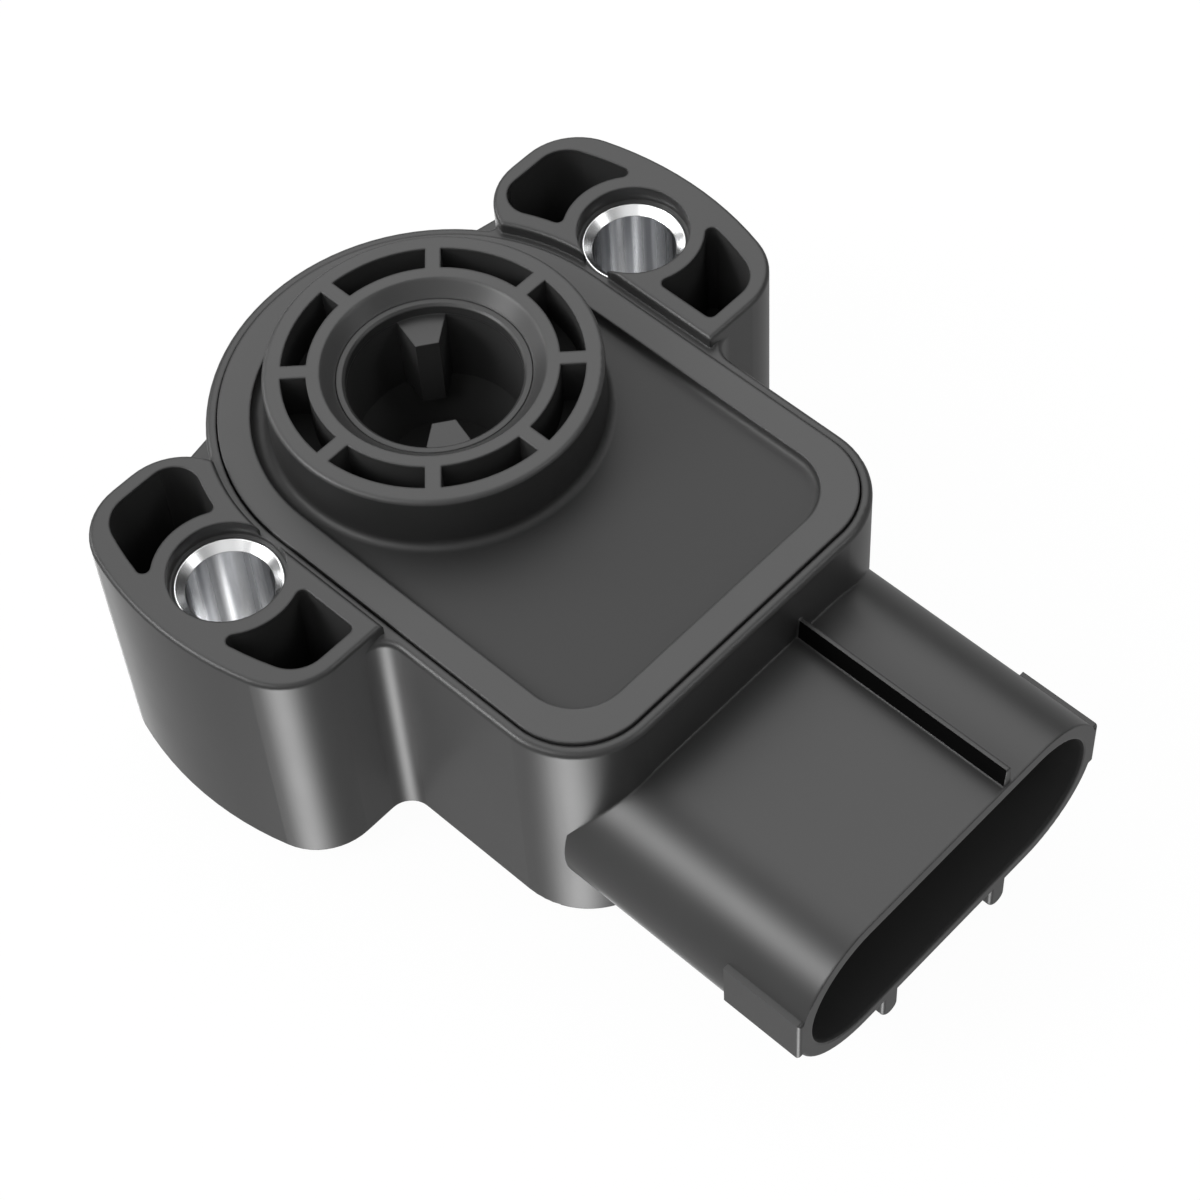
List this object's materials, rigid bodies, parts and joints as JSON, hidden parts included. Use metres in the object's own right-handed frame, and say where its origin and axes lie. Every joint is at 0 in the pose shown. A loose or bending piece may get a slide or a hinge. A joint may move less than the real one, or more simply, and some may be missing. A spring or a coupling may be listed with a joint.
{
  "type": "throttle position sensor",
  "caption": "Throttle position sensor: moulded case with screw ears, a piloting boss round a spring-returned drive rotor, and a connector socket.",
  "frame": {"origin": "on the pilot boss axis, in the plane of the ear faces that seat on the throttle body", "axes": "+Z out of the pilot boss, towards the throttle body; +X out of the connector; +Y towards the ear on the guide rib's side"},
  "size_m": [0.0639, 0.0528, 0.026],
  "materials": {
    "case_plastic": "satin black glass-filled moulding",
    "cover_plastic": "satin black glass-filled moulding",
    "rotor_plastic": "satin black moulding",
    "seal_rubber": "black elastomer",
    "limiter_metal": "bright turned metal",
    "spring_steel": "drawn spring steel",
    "washer_bronze": "plain bronze",
    "board_laminate": "glass laminate",
    "resistor_ink": "cured carbon ink",
    "silver_ink": "matt silver print",
    "tinned_terminal": "tin plated",
    "solder": "bright solder",
    "wiper_metal": "bright spring alloy"
  },
  "bodies": {
    "case": {"housing": "case_plastic", "front_cover": "cover_plastic", "cover_seal": "seal_rubber", "limiter_near": "limiter_metal", "limiter_far": "limiter_metal", "shaft_seal": "seal_rubber", "spring_washer": "spring_steel", "thrust_washer": "washer_bronze", "return_spring": "spring_steel", "element_board": "board_laminate", "resistor_track": "resistor_ink", "collector_track": "silver_ink", "conductor_near": "silver_ink", "conductor_middle": "silver_ink", "conductor_far": "silver_ink", "terminal_1": "tinned_terminal", "terminal_2": "tinned_terminal", "terminal_3": "tinned_terminal", "solder_joint_1": "solder", "solder_joint_2": "solder", "solder_joint_3": "solder"},
    "rotor": {"rotor": "rotor_plastic", "wiper": "wiper_metal"}
  },
  "joints": [
    {"name": "rotor_turn", "type": "hinge", "parent": "case", "child": "rotor", "pos_m": [0, 0, 0], "axis": [0, 0, 1], "range_deg": [0, 90], "stiffness_Nm_per_rad": 0.005, "springref_deg": -5.73}
  ]
}
